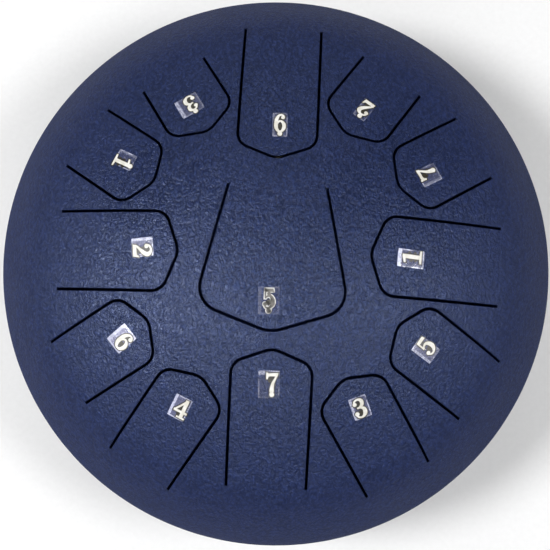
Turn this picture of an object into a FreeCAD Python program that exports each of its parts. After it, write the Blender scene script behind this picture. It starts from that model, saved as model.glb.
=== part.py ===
import FreeCAD, Part

import math
import os

import Sketcher
from FreeCAD import Placement, Rotation, Vector

# Steel tongue drum with thirteen notes, about 305 mm across: two pressed steel dishes butt-welded at
# the equator, thirteen tongues cut into the top dish, a round sound port in the bottom dish, four
# screwed rubber feet, and a clear sticker with the note's number on every tongue.
#
# Frame, in millimetres: +Z is the drum's axis, the origin is on the floor under its centre, and the
# player sits on the -Y side. A tongue is the part of the top dish inside a U-shaped slot. It bends at
# its root, the straight line between the slot's two ends, so it is a solid of its own that ends
# root_gap short of that line.

doc = FreeCAD.newDocument("tongue_drum")
sheet = doc.addObject("Spreadsheet::Sheet", "Sizes")

DIMENSIONS = {
    # the two dishes
    "drum_radius": 152.5,
    "wall": 2.0,
    "top_crown_radius": 318.0,
    "top_knuckle_radius": 59.0,
    "base_crown_radius": 420.0,
    "base_knuckle_radius": 55.0,
    "skirt": 2.5,
    "floor_clearance": 8.0,
    "port_radius": 28.0,
    "port_edge_round": 0.6,
    # the weld between them
    "weld_gap": 1.2,
    "weld_cap_width": 3.6,
    "weld_cap_rise": 0.25,
    "weld_root_width": 3.0,
    "weld_root_rise": 0.9,
    # the tongues
    "slot_width": 1.6,
    "root_gap": 0.05,
    "side_tip_radius": 47.3,
    "side_width": 40.0,
    "corner_tip_radius": 70.5,
    "corner_width": 36.0,
    "tip_setback": 7.6,
    "shoulder_round": 8.0,
    "tip_round": 10.0,
    "middle_tip_radius": 39.6,
    "middle_root_width": 49.0,
    "middle_shoulder_width": 75.8,
    "middle_setback": 13.1,
    "middle_shoulder_round": 12.5,
    "middle_tip_round": 17.0,
    # the note stickers
    "film_thickness": 0.12,
    "film_round": 0.8,
    # the feet and their fasteners
    "foot_circle_radius": 84.0,
    "foot_top_radius": 12.5,
    "foot_sole_radius": 10.0,
    "foot_web": 5.0,
    "foot_recess_radius": 6.2,
    "foot_hole_radius": 2.8,
    "washer_radius": 5.4,
    "washer_thickness": 1.0,
    "washer_hole_radius": 2.65,
    "screw_radius": 2.42,
    "screw_length": 16.0,
    "head_radius": 4.6,
    "head_height": 3.0,
    "head_round": 1.1,
    "drive_radius": 2.1,
    "drive_depth": 1.6,
    "drive_blade": 0.9,
    "insert_bore_radius": 2.5,
    "insert_body_radius": 3.4,
    "insert_hole_radius": 3.5,
    "insert_flange_radius": 4.8,
    "insert_flange_thickness": 0.8,
    "insert_bulge_radius": 4.7,
    "insert_bulge_length": 3.6,
    "insert_length": 12.0,
}

# note: (kind, bearing of its tip from the drum's axis, bearing of its root from its tip, length from
# tip to root), in degrees and millimetres. The slots lean a little, and no two are quite alike.
TONGUES = {
    "low_5": ("middle", -92.0, 88.0, 73.0),
    "low_6": ("side", 90.0, 88.0, 74.0),
    "low_7": ("side", -90.0, -92.0, 69.0),
    "mid_1": ("side", 0.0, -3.0, 67.5),
    "mid_2": ("side", 180.0, 178.5, 63.0),
    "mid_3": ("corner", -60.5, -59.5, 58.5),
    "mid_4": ("corner", -119.5, -124.5, 57.5),
    "mid_5": ("corner", -29.5, -35.5, 54.0),
    "mid_6": ("corner", -151.0, -148.0, 50.0),
    "mid_7": ("corner", 29.5, 30.5, 47.5),
    "high_1": ("corner", 150.0, 145.5, 45.5),
    "high_2": ("corner", 60.5, 54.5, 42.5),
    "high_3": ("corner", 119.0, 121.5, 38.5),
}

# note: (distance in from the tip, offset to the left as seen from the tip, width, height, direction
# of the top of the number in degrees). They are stuck on by hand, so no two lie quite the same.
STICKERS = {
    "low_5": (15.5, 1.5, 10.5, 13.5, 90.0),
    "low_6": (18.0, -1.0, 7.5, 13.0, 90.0),
    "low_7": (17.5, -1.0, 10.5, 13.5, 90.0),
    "mid_1": (20.5, -0.5, 9.0, 13.5, 175.0),
    "mid_2": (18.5, -1.5, 9.5, 11.0, 5.0),
    "mid_3": (16.5, 0.5, 9.0, 11.0, 111.0),
    "mid_4": (19.0, 0.0, 9.0, 11.5, 64.0),
    "mid_5": (18.5, -1.0, 9.0, 12.0, 145.0),
    "mid_6": (16.5, 0.5, 10.0, 12.0, 40.0),
    "mid_7": (17.5, -2.0, 9.5, 11.0, -151.0),
    "high_1": (20.0, -1.0, 8.5, 10.5, -26.0),
    "high_2": (17.0, 0.0, 7.0, 11.5, -126.0),
    "high_3": (18.0, 1.5, 12.5, 10.5, -59.0),
}

FEET = {
    "foot_right": 0.0,
    "foot_back": 90.0,
    "foot_left": 180.0,
    "foot_front": 270.0,
}
SEAM_BEARING = 45.0  # where a turned surface starts and ends, clear of tongues and feet


# ---------------------------------------------------------------- the sheet and small helpers

def fill_sheet():
    """One row per driving dimension: its name in column A, its value in column B."""
    rows = dict(DIMENSIONS)
    for note, (kind, bearing, heading, length) in TONGUES.items():
        rows[note + "_length"] = length
    for note, (inward, left, width, height, up) in STICKERS.items():
        rows[note + "_film_width"] = width
        rows[note + "_film_height"] = height
    for row, (name, value) in enumerate(rows.items(), start=1):
        sheet.set("A%d" % row, name)
        sheet.set("B%d" % row, repr(value))
        sheet.setAlias("B%d" % row, name)
    doc.recompute()


def size(name):
    return float(getattr(sheet, name))


def polar(radius, degrees, z=0.0):
    angle = math.radians(degrees)
    return Vector(radius * math.cos(angle), radius * math.sin(angle), z)


def origin_plane(body, role):
    return [f for f in body.Origin.OriginFeatures if f.Role == role][0]


def new_sketch(body, name, role):
    sketch = body.newObject("Sketcher::SketchObject", name)
    sketch.AttachmentSupport = (origin_plane(body, role), [""])
    sketch.MapMode = "FlatFace"
    return sketch


def drive(sketch, kind, references, expression, name):
    """Adds a dimension to the sketch and binds it to an expression on the sheet."""
    value = float(sheet.evalExpression(expression))
    index = sketch.addConstraint(Sketcher.Constraint(kind, *references, value))
    sketch.renameConstraint(index, name)
    sketch.setExpression("Constraints." + name, expression)


def polygon_sketch(body, name, role, corners):
    """A closed polygon. Each corner is a pair of expressions on the sheet; "0" means on an axis."""
    sketch = new_sketch(body, name, role)
    points = [[float(sheet.evalExpression(e)) for e in corner] for corner in corners]
    count = len(points)
    for i in range(count):
        start = Vector(*points[i], 0)
        end = Vector(*points[(i + 1) % count], 0)
        sketch.addGeometry(Part.LineSegment(start, end), False)
    for i in range(count):
        sketch.addConstraint(Sketcher.Constraint("Coincident", i, 2, (i + 1) % count, 1))
    for i, corner in enumerate(corners):
        for kind, axis, expression in zip(("DistanceX", "DistanceY"), (-2, -1), corner):
            if expression == "0":
                sketch.addConstraint(Sketcher.Constraint("PointOnObject", i, 1, axis))
            else:
                drive(sketch, kind, (-1, 1, i, 1), expression, "%s_%d" % (kind, i))
    return sketch


def turned_body(name, corners):
    """A body of revolution about its own Z. Each corner is (radius, height), as expressions."""
    body = doc.addObject("PartDesign::Body", name)
    sketch = polygon_sketch(body, name + "_profile", "XZ_Plane", corners)
    turn = body.newObject("PartDesign::Revolution", name + "_turn")
    turn.Profile = sketch
    turn.ReferenceAxis = (sketch, ["V_Axis"])
    turn.Angle = 360.0
    doc.recompute()
    return body


def vertical_edges(shape, wanted):
    """Names of the straight Z-parallel edges whose foot is one of the wanted (x, y) points."""
    found = []
    for number, edge in enumerate(shape.Edges, start=1):
        first, last = edge.Vertexes[0].Point, edge.Vertexes[-1].Point
        if abs(first.x - last.x) + abs(first.y - last.y) > 1e-6:
            continue
        if any(math.hypot(first.x - x, first.y - y) < 1e-4 for x, y in wanted):
            found.append("Edge%d" % number)
    return found


def round_edges(body, name, base, corners, expression):
    """A fillet on the body's upright edges at the given corners."""
    wanted = [[float(sheet.evalExpression(e)) for e in corner] for corner in corners]
    fillet = body.newObject("PartDesign::Fillet", name)
    fillet.Base = (base, vertical_edges(base.Shape, wanted))
    fillet.setExpression("Radius", expression)
    doc.recompute()
    return fillet


def boolean(kind, name, base, tool):
    result = doc.addObject("Part::" + kind, name)
    result.Base = base
    result.Tool = tool
    doc.recompute()
    return result


def group(name, members):
    compound = doc.addObject("Part::Compound", name)
    compound.Links = members
    doc.recompute()
    return compound


# ---------------------------------------------------------------- the two dishes

def dish_body(name, crown, knuckle, centre, knuckle_height, direction):
    """A pressed dish of even wall: a crown arc, a tangent knuckle arc and a short straight skirt.

    crown and knuckle name the outer radii on the sheet. centre and knuckle_height are expressions
    for the heights of the arcs' centres, and direction is 1 for the top dish and -1 for the base.
    """
    body = doc.addObject("PartDesign::Body", name)
    sketch = new_sketch(body, name + "_profile", "XZ_Plane")
    wall, skirt, rim = size("wall"), size("skirt"), size("drum_radius")
    crown_radius, knuckle_radius = size(crown), size(knuckle)
    centre_z = float(sheet.evalExpression(centre))
    knuckle_z = float(sheet.evalExpression(knuckle_height))
    crown_centre = Vector(0, centre_z, 0)
    knuckle_centre = Vector(rim - knuckle_radius, knuckle_z, 0)
    toward = (knuckle_centre - crown_centre).normalize()
    lean = math.atan2(toward.y, toward.x)

    def arc(middle, radius, first, last):
        low, high = min(first, last), max(first, last)
        circle = Part.Circle(middle, Vector(0, 0, 1), radius)
        return sketch.addGeometry(Part.ArcOfCircle(circle, low, high), False)

    def line(start, end):
        return sketch.addGeometry(Part.LineSegment(Vector(*start, 0), Vector(*end, 0)), False)

    upright = direction * math.pi / 2
    outer_crown = arc(crown_centre, crown_radius, lean, upright)
    outer_knuckle = arc(knuckle_centre, knuckle_radius, 0.0, lean)
    inner_crown = arc(crown_centre, crown_radius - wall, lean, upright)
    inner_knuckle = arc(knuckle_centre, knuckle_radius - wall, 0.0, lean)
    rim_z = knuckle_z - direction * skirt
    outer_skirt = line((rim, knuckle_z), (rim, rim_z))
    inner_skirt = line((rim - wall, knuckle_z), (rim - wall, rim_z))
    edge = line((rim, rim_z), (rim - wall, rim_z))
    pole = line(
        (0, centre_z + direction * crown_radius),
        (0, centre_z + direction * (crown_radius - wall)),
    )
    # an arc runs anticlockwise, so which of its ends meets the crown depends on the direction
    lean_end, pole_end = (1, 2) if direction > 0 else (2, 1)
    add = lambda *what: sketch.addConstraint(Sketcher.Constraint(*what))
    for crown_arc, knuckle_arc, skirt_line in (
        (outer_crown, outer_knuckle, outer_skirt),
        (inner_crown, inner_knuckle, inner_skirt),
    ):
        add("Tangent", crown_arc, lean_end, knuckle_arc, pole_end)
        add("Tangent", knuckle_arc, lean_end, skirt_line, 1)
        add("Vertical", skirt_line)
    add("Coincident", outer_crown, pole_end, pole, 1)
    add("Coincident", inner_crown, pole_end, pole, 2)
    add("Coincident", outer_skirt, 2, edge, 1)
    add("Coincident", inner_skirt, 2, edge, 2)
    add("PointOnObject", outer_crown, 3, -2)
    add("Coincident", outer_crown, 3, inner_crown, 3)
    add("Coincident", outer_knuckle, 3, inner_knuckle, 3)
    add("PointOnObject", pole, 1, -2)
    add("PointOnObject", pole, 2, -2)
    add("Horizontal", edge)
    drive(sketch, "Radius", (outer_crown,), "Sizes." + crown, "crown_radius")
    drive(sketch, "Radius", (inner_crown,), "Sizes.%s - Sizes.wall" % crown, "inner_crown_radius")
    drive(sketch, "Radius", (outer_knuckle,), "Sizes." + knuckle, "knuckle_radius")
    drive(sketch, "DistanceX", (-1, 1, outer_skirt, 2), "Sizes.drum_radius", "rim_radius")
    drive(sketch, "DistanceY", (-1, 1, outer_knuckle, 3), knuckle_height, "knuckle_height")
    drive(sketch, "DistanceY", (-1, 1, edge, 1), edge_height(knuckle_height, direction), "rim_height")
    turn = body.newObject("PartDesign::Revolution", name + "_turn")
    turn.Profile = sketch
    turn.ReferenceAxis = (sketch, ["V_Axis"])
    turn.Angle = 360.0
    doc.recompute()
    return body


def edge_height(knuckle_height, direction):
    return "%s %s Sizes.skirt" % (knuckle_height, "-" if direction > 0 else "+")


def arc_centre_drop(crown, knuckle):
    """Expression: how far the crown's centre lies beyond the knuckle's, along the axis."""
    return (
        "sqrt((Sizes.{c} - Sizes.{k}) * (Sizes.{c} - Sizes.{k})"
        " - (Sizes.drum_radius - Sizes.{k}) * (Sizes.drum_radius - Sizes.{k}))"
    ).format(c=crown, k=knuckle)


BASE_DROP = arc_centre_drop("base_crown_radius", "base_knuckle_radius")
TOP_DROP = arc_centre_drop("top_crown_radius", "top_knuckle_radius")
BASE_CENTRE = "Sizes.floor_clearance + Sizes.base_crown_radius"
BASE_KNUCKLE = "Sizes.floor_clearance + Sizes.base_crown_radius - " + BASE_DROP
WELD_HEIGHT = BASE_KNUCKLE + " + Sizes.skirt + Sizes.weld_gap / 2"
TOP_KNUCKLE = BASE_KNUCKLE + " + 2 * Sizes.skirt + Sizes.weld_gap"
TOP_CENTRE = TOP_KNUCKLE + " - " + TOP_DROP


def base_dish():
    """The bottom dish: its port with rounded lips, and the four holes for the rivet nuts."""
    body = dish_body(
        "base_dish", "base_crown_radius", "base_knuckle_radius", BASE_CENTRE, BASE_KNUCKLE, -1
    )
    body.Placement.Rotation = Rotation(Vector(0, 0, 1), SEAM_BEARING)
    port_sketch = new_sketch(body, "port_outline", "XY_Plane")
    port_sketch.addGeometry(Part.Circle(Vector(0, 0, 0), Vector(0, 0, 1), size("port_radius")), False)
    port_sketch.addConstraint(Sketcher.Constraint("Coincident", 0, 3, -1, 1))
    drive(port_sketch, "Radius", (0,), "Sizes.port_radius", "port_radius")
    port = body.newObject("PartDesign::Pocket", "port")
    port.Profile = port_sketch
    port.Type = "ThroughAll"
    port.Reversed = True
    doc.recompute()
    lips = [
        "Edge%d" % number
        for number, edge in enumerate(port.Shape.Edges, start=1)
        if edge.Closed and abs(edge.BoundBox.XMax - size("port_radius")) < 0.01
    ]
    rounding = body.newObject("PartDesign::Fillet", "port_lips")
    rounding.Base = (port, lips)
    rounding.setExpression("Radius", "Sizes.port_edge_round")
    doc.recompute()
    drills = []
    for name, bearing in FEET.items():
        drill = doc.addObject("Part::Cylinder", name + "_hole")
        drill.setExpression("Radius", "Sizes.insert_hole_radius")
        drill.setExpression("Height", "Sizes.wall * 4")
        drill.Placement = foot_placement(bearing, -2 * size("wall"))
        drills.append(drill)
    return boolean("Cut", "lower_shell", body, group("foot_holes", drills))


def weld():
    """The weld run: a neck in the gap, a low ground cap outside and a root bead inside."""
    rim, inside = "Sizes.drum_radius", "Sizes.drum_radius - Sizes.wall"
    middle = WELD_HEIGHT
    half = "Sizes.weld_gap / 2"
    cap, root = "Sizes.weld_cap_width / 2", "Sizes.weld_root_width / 2"
    right = [
        (rim, middle + " + " + half),
        (rim, middle + " + " + cap),
        (rim + " + Sizes.weld_cap_rise", middle + " + " + half),
        (rim + " + Sizes.weld_cap_rise", middle + " - " + half),
        (rim, middle + " - " + cap),
        (rim, middle + " - " + half),
    ]
    left = [
        (inside, middle + " - " + half),
        (inside, middle + " - " + root),
        (inside + " - Sizes.weld_root_rise", middle + " - " + half),
        (inside + " - Sizes.weld_root_rise", middle + " + " + half),
        (inside, middle + " + " + root),
        (inside, middle + " + " + half),
    ]
    return turned_body("seam_weld", right + left)


# ---------------------------------------------------------------- the tongues

def tongue_corners(note, kind, inset, root):
    """The five corners of a tongue's outline, moved in from the slot's centre line by inset.

    The tip is at the local origin and +X runs to the root. Both results are expressions.
    """
    if kind == "middle":
        shoulder, foot = "Sizes.middle_shoulder_width / 2", "Sizes.middle_root_width / 2"
        setback = "Sizes.middle_setback"
    else:
        shoulder = foot = "Sizes.%s_width / 2" % kind
        setback = "Sizes.tip_setback"
    slope = "((%s - %s) / (Sizes.%s_length - %s))" % (foot, shoulder, note, setback)
    lean = "atan(%s / %s)" % (shoulder, setback)
    side_inset = "(%s) / cos(atan(%s))" % (inset, slope)
    tip_x = "(%s) / sin(%s)" % (inset, lean)
    shoulder_x = "((%s - %s * %s - %s + (%s) * tan(%s)) / (tan(%s) - %s))" % (
        shoulder, slope, setback, side_inset, tip_x, lean, lean, slope,
    )
    shoulder_y = "(%s - (%s)) * tan(%s)" % (shoulder_x, tip_x, lean)
    root_y = "%s - %s" % (foot, side_inset)
    return [
        (root, root_y),
        (shoulder_x, shoulder_y),
        (tip_x, "0"),
        (shoulder_x, "-(%s)" % shoulder_y),
        (root, "-(%s)" % root_y),
    ]


def tongue_prism(name, note, kind, inset, root, corner_round):
    """An upright prism with a tongue's rounded outline, in the tongue's own frame."""
    corners = tongue_corners(note, kind, inset, root)
    body = doc.addObject("PartDesign::Body", name)
    sketch = polygon_sketch(body, name + "_outline", "XY_Plane", corners)
    pad = body.newObject("PartDesign::Pad", name + "_pad")
    pad.Profile = sketch
    pad.setExpression("Length", "Sizes.top_crown_radius")
    doc.recompute()
    prefix = "middle_" if kind == "middle" else ""
    shoulders = "Sizes.%sshoulder_round %s" % (prefix, corner_round)
    tip = "Sizes.%stip_round %s" % (prefix, corner_round)
    rounded = round_edges(body, name + "_shoulders", pad, [corners[1], corners[3]], shoulders)
    rounded = round_edges(body, name + "_tip", rounded, [corners[2]], tip)
    body.Placement = tongue_placement(note)
    doc.recompute()
    return body


def tongue_placement(note):
    kind, bearing, heading, length = TONGUES[note]
    tip = polar(size(kind + "_tip_radius"), bearing)
    return Placement(tip, Rotation(Vector(0, 0, 1), heading))


def tongues_and_shell():
    """Cuts the top dish into its thirteen tongues and the slotted shell around them."""
    dish = dish_body("top_dish", "top_crown_radius", "top_knuckle_radius", TOP_CENTRE, TOP_KNUCKLE, 1)
    dish.Placement.Rotation = Rotation(Vector(0, 0, 1), SEAM_BEARING)
    half_slot = "Sizes.slot_width / 2"
    windows, tongues = [], {}
    for note, (kind, bearing, heading, length) in TONGUES.items():
        root = "Sizes.%s_length" % note
        windows.append(
            tongue_prism("window_" + note, note, kind, "-" + half_slot, root, "+ " + half_slot)
        )
        blank = tongue_prism(
            "blank_" + note, note, kind, half_slot, root + " - Sizes.root_gap", "- " + half_slot
        )
        tongues["tongue_" + note] = boolean("Common", "tongue_" + note, dish, blank)
    shell = boolean("Cut", "upper_shell", dish, group("windows", windows))
    return shell, tongues


# ---------------------------------------------------------------- the stickers

def sticker_placement(note):
    inward, left, width, height, up = STICKERS[note]
    along = TONGUES[note][2]
    place = tongue_placement(note).Base + polar(inward, along) + polar(left, along + 90)
    return Placement(place, Rotation(Vector(0, 0, 1), up - 90))


def stickers():
    """Clear films that follow the crown. A film is the piece of a thin layer inside its outline."""
    spheres = {}
    for name, expression in (
        ("film_top", "Sizes.top_crown_radius + Sizes.film_thickness"),
        ("film_underside", "Sizes.top_crown_radius"),
    ):
        sphere = doc.addObject("Part::Sphere", name)
        sphere.setExpression("Radius", expression)
        sphere.Placement.Base = Vector(0, 0, float(sheet.evalExpression(TOP_CENTRE)))
        spheres[name] = sphere
    layer = boolean("Cut", "film_layer", spheres["film_top"], spheres["film_underside"])
    films = {}
    for note in STICKERS:
        half_width = "Sizes.%s_film_width / 2" % note
        half_height = "Sizes.%s_film_height / 2" % note
        corners = [
            (half_width, half_height),
            ("-" + half_width, half_height),
            ("-" + half_width, "-" + half_height),
            (half_width, "-" + half_height),
        ]
        body = doc.addObject("PartDesign::Body", "outline_" + note)
        sketch = polygon_sketch(body, "outline_%s_sketch" % note, "XY_Plane", corners)
        pad = body.newObject("PartDesign::Pad", "outline_%s_pad" % note)
        pad.Profile = sketch
        pad.setExpression("Length", "Sizes.top_crown_radius")
        doc.recompute()
        round_edges(body, "outline_%s_corners" % note, pad, corners, "Sizes.film_round")
        body.Placement = sticker_placement(note)
        doc.recompute()
        films["sticker_" + note] = boolean("Common", "sticker_" + note, layer, body)
    return films


# ---------------------------------------------------------------- the feet and their fasteners

def foot_placement(bearing, outward=0.0):
    """A frame on the base dish's outer face with +Z along the outward normal."""
    radius = size("foot_circle_radius")
    crown = size("base_crown_radius")
    centre = Vector(0, 0, float(sheet.evalExpression(BASE_CENTRE)))
    normal = polar(radius, bearing, -math.sqrt(crown**2 - radius**2)).normalize()
    return Placement(centre + normal * (crown + outward), Rotation(Vector(0, 0, 1), normal))


def foot_blank(name):
    """A tapered bumper with a recess for the rivet nut's flange and one for the screw's head."""
    reach = "Sizes.foot_web + 25"
    flange = "Sizes.insert_flange_thickness + 0.1"
    return turned_body(
        name,
        [
            ("Sizes.foot_hole_radius", flange),
            ("Sizes.insert_flange_radius + 0.2", flange),
            ("Sizes.insert_flange_radius + 0.2", "-1"),
            ("Sizes.foot_top_radius", "-1"),
            ("Sizes.foot_top_radius", "Sizes.foot_web"),
            ("Sizes.foot_sole_radius", reach),
            ("Sizes.foot_recess_radius", reach),
            ("Sizes.foot_recess_radius", "Sizes.foot_web"),
            ("Sizes.foot_hole_radius", "Sizes.foot_web"),
        ],
    )


def foot(name, bearing):
    """One foot, with its top cut to the dish and its sole cut level at the floor."""
    blank = foot_blank(name + "_blank")
    blank.Placement = foot_placement(bearing)
    dish = doc.addObject("Part::Sphere", name + "_seat")
    dish.setExpression("Radius", "Sizes.base_crown_radius")
    dish.Placement = Placement(
        Vector(0, 0, float(sheet.evalExpression(BASE_CENTRE))),
        Rotation(Vector(0, 0, 1), SEAM_BEARING),
    )
    seated = boolean("Cut", name + "_seated", blank, dish)
    ground = doc.addObject("Part::Box", name + "_ground")
    ground.setExpression("Length", "Sizes.drum_radius * 2")
    ground.setExpression("Width", "Sizes.drum_radius * 2")
    ground.Height = 60.0
    half = size("drum_radius")
    ground.Placement.Base = Vector(-half, -half, -60.0)
    return boolean("Cut", name, seated, ground)


def washer_blank():
    low, high = "Sizes.foot_web", "Sizes.foot_web + Sizes.washer_thickness"
    return turned_body(
        "washer_blank",
        [
            ("Sizes.washer_hole_radius", low),
            ("Sizes.washer_radius", low),
            ("Sizes.washer_radius", high),
            ("Sizes.washer_hole_radius", high),
        ],
    )


def screw_blank():
    """A pan-head screw with a cross recess. Its thread is left as a plain shank."""
    seat = "Sizes.foot_web + Sizes.washer_thickness"
    body = turned_body(
        "screw_turning",
        [
            ("0", seat + " - Sizes.screw_length"),
            ("Sizes.screw_radius - 0.5", seat + " - Sizes.screw_length"),
            ("Sizes.screw_radius", seat + " - Sizes.screw_length + 0.5"),
            ("Sizes.screw_radius", seat),
            ("Sizes.head_radius", seat),
            ("Sizes.head_radius", seat + " + Sizes.head_height - Sizes.head_round"),
            ("Sizes.head_radius - Sizes.head_round", seat + " + Sizes.head_height"),
            ("0", seat + " + Sizes.head_height"),
        ],
    )
    blades = []
    for index, (along, across) in enumerate((("Length", "Width"), ("Width", "Length"))):
        blade = doc.addObject("Part::Box", "drive_blade_%d" % (index + 1))
        blade.setExpression(along, "Sizes.drive_radius * 2")
        blade.setExpression(across, "Sizes.drive_blade")
        blade.setExpression("Height", "Sizes.drive_depth + 1")
        long_half, short_half = size("drive_radius"), size("drive_blade") / 2
        corner = (-long_half, -short_half) if along == "Length" else (-short_half, -long_half)
        floor = float(sheet.evalExpression(seat + " + Sizes.head_height - Sizes.drive_depth"))
        blade.Placement.Base = Vector(*corner, floor)
        blades.append(blade)
    cross = boolean("Fuse", "drive_cross", *blades)
    return boolean("Cut", "screw_blank", body, cross)


def insert_blank():
    """A set rivet nut: its flange outside the sheet and its bulge inside."""
    inner = "-(Sizes.wall + 0.15)"
    bulge = "-(Sizes.wall + 0.15 + Sizes.insert_bulge_length)"
    flange = "Sizes.insert_flange_thickness"
    return turned_body(
        "insert_blank",
        [
            ("Sizes.insert_bore_radius", flange),
            ("Sizes.insert_flange_radius", flange),
            ("Sizes.insert_flange_radius", "0"),
            ("Sizes.insert_body_radius", "0"),
            ("Sizes.insert_body_radius", inner),
            ("Sizes.insert_bulge_radius", inner),
            ("Sizes.insert_bulge_radius - 0.4", bulge),
            ("Sizes.insert_body_radius", bulge),
            ("Sizes.insert_body_radius", flange + " - Sizes.insert_length"),
            ("Sizes.insert_bore_radius", flange + " - Sizes.insert_length"),
        ],
    )


def at_each_foot(name, blank):
    """A group of four copies of a blank, one on each foot's axis."""
    copies = []
    for foot_name, bearing in FEET.items():
        copy = doc.addObject("Part::Feature", "%s_%s" % (name, foot_name))
        copy.Shape = blank.Shape
        copy.Placement = foot_placement(bearing)
        copies.append(copy)
    return group(name, copies)


# ---------------------------------------------------------------- building and writing

def build():
    fill_sheet()
    shell, nodes = tongues_and_shell()
    nodes["upper_shell"] = shell
    nodes["lower_shell"] = base_dish()
    nodes["seam_weld"] = weld()
    nodes.update(stickers())
    for name, bearing in FEET.items():
        nodes[name] = foot(name, bearing)
    nodes["foot_screws"] = at_each_foot("foot_screws", screw_blank())
    nodes["foot_washers"] = at_each_foot("foot_washers", washer_blank())
    nodes["rivet_nuts"] = at_each_foot("rivet_nuts", insert_blank())
    return nodes


def check(nodes):
    for item in doc.Objects:
        if {"Invalid", "Error"} & set(item.State):
            raise RuntimeError("%s failed: %s" % (item.Name, item.State))
    for name, item in nodes.items():
        if item.Shape.isNull() or not item.Shape.isValid() or not item.Shape.Solids:
            raise RuntimeError("%s has no valid solid" % name)


def write(nodes):
    os.makedirs("parts", exist_ok=True)
    for name, item in nodes.items():
        item.Label = name
        item.Shape.exportStep("parts/%s.step" % name)
        box = item.Shape.optimalBoundingBox()
        print(name, len(item.Shape.Solids), "solid(s), %.0f mm3" % item.Shape.Volume,
              "z %.2f to %.2f" % (box.ZMin, box.ZMax))


made = build()
doc.recompute()
check(made)
write(made)
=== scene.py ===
import math
import random
from collections import namedtuple

import bmesh
import bpy
from mathutils import Matrix, Vector
from mathutils.geometry import delaunay_2d_cdt


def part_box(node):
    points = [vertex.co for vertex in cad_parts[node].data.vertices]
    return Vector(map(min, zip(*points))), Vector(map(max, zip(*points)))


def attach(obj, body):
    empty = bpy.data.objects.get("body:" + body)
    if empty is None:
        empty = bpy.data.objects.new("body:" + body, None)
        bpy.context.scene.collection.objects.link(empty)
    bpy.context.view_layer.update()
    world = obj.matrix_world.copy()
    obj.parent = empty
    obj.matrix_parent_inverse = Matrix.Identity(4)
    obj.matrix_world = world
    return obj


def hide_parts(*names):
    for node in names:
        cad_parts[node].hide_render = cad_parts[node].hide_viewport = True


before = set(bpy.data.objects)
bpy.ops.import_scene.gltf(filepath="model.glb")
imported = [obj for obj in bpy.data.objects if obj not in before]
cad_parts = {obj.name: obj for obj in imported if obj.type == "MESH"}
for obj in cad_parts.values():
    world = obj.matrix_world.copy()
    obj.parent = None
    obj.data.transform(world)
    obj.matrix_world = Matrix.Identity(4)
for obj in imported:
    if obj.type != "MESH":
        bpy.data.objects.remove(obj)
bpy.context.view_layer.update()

# Steel tongue drum: thirteen numbered tongues in a textured navy powder coat.
# Shapes are worked out in millimetres in the frame's own axes, and written in metres.
# The materials, lights and camera are in metres.

MM = 0.001

# ------------------------------------------------------------------ sizes, as in the CAD model

RIM, WALL, SKIRT = 152.5, 2.0, 2.5  # outer radius, steel thickness, straight run at the rim
CROWN, KNUCKLE = 318.0, 59.0  # radii of the top dish's two arcs
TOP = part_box("tongue_low_5")[1].z / MM
CROWN_Z = TOP - CROWN
KNUCKLE_Z = CROWN_Z + math.sqrt((CROWN - KNUCKLE) ** 2 - (RIM - KNUCKLE) ** 2)
SLOT = 1.35  # cut at 1.6, less the coat on both walls
EDGE_ROUND, BURR_ROUND = 0.25, 0.2  # a slot's edge outside and inside
ROOT_GAP = 0.03  # the cut that parts a tongue from the shell
FILM = 0.12  # a sticker's thickness in the CAD model

# setback: of the shoulders from the tip; the rounds are radii
Kind = namedtuple("Kind", "tip_radius shoulder_width root_width setback shoulder_round tip_round")
KINDS = {
    "side": Kind(47.3, 40.0, 40.0, 7.6, 8.0, 10.0),
    "corner": Kind(70.5, 36.0, 36.0, 7.6, 8.0, 10.0),
    "middle": Kind(39.6, 75.8, 49.0, 13.1, 12.5, 17.0),
}

# bearing: of the tip from the drum's axis; heading: of the root from the tip; both in degrees
Tongue = namedtuple("Tongue", "kind bearing heading length")
TONGUES = {
    "low_5": Tongue("middle", -92.0, 88.0, 73.0),
    "low_6": Tongue("side", 90.0, 88.0, 74.0),
    "low_7": Tongue("side", -90.0, -92.0, 69.0),
    "mid_1": Tongue("side", 0.0, -3.0, 67.5),
    "mid_2": Tongue("side", 180.0, 178.5, 63.0),
    "mid_3": Tongue("corner", -60.5, -59.5, 58.5),
    "mid_4": Tongue("corner", -119.5, -124.5, 57.5),
    "mid_5": Tongue("corner", -29.5, -35.5, 54.0),
    "mid_6": Tongue("corner", -151.0, -148.0, 50.0),
    "mid_7": Tongue("corner", 29.5, 30.5, 47.5),
    "high_1": Tongue("corner", 150.0, 145.5, 45.5),
    "high_2": Tongue("corner", 60.5, 54.5, 42.5),
    "high_3": Tongue("corner", 119.0, 121.5, 38.5),
}

# inward, left: of the film's middle from the tip, facing the root; up: bearing of the number's top
Sticker = namedtuple("Sticker", "inward left width height up")
STICKERS = {
    "low_5": Sticker(15.5, 1.5, 10.5, 13.5, 90.0),
    "low_6": Sticker(18.0, -1.0, 7.5, 13.0, 90.0),
    "low_7": Sticker(17.5, -1.0, 10.5, 13.5, 90.0),
    "mid_1": Sticker(20.5, -0.5, 9.0, 13.5, 175.0),
    "mid_2": Sticker(18.5, -1.5, 9.5, 11.0, 5.0),
    "mid_3": Sticker(16.5, 0.5, 9.0, 11.0, 111.0),
    "mid_4": Sticker(19.0, 0.0, 9.0, 11.5, 64.0),
    "mid_5": Sticker(18.5, -1.0, 9.0, 12.0, 145.0),
    "mid_6": Sticker(16.5, 0.5, 10.0, 12.0, 40.0),
    "mid_7": Sticker(17.5, -2.0, 9.5, 11.0, -151.0),
    "high_1": Sticker(20.0, -1.0, 8.5, 10.5, -26.0),
    "high_2": Sticker(17.0, 0.0, 7.0, 11.5, -126.0),
    "high_3": Sticker(18.0, 1.5, 12.5, 10.5, -59.0),
}

# ------------------------------------------------------------------ looks of the stickers

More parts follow.
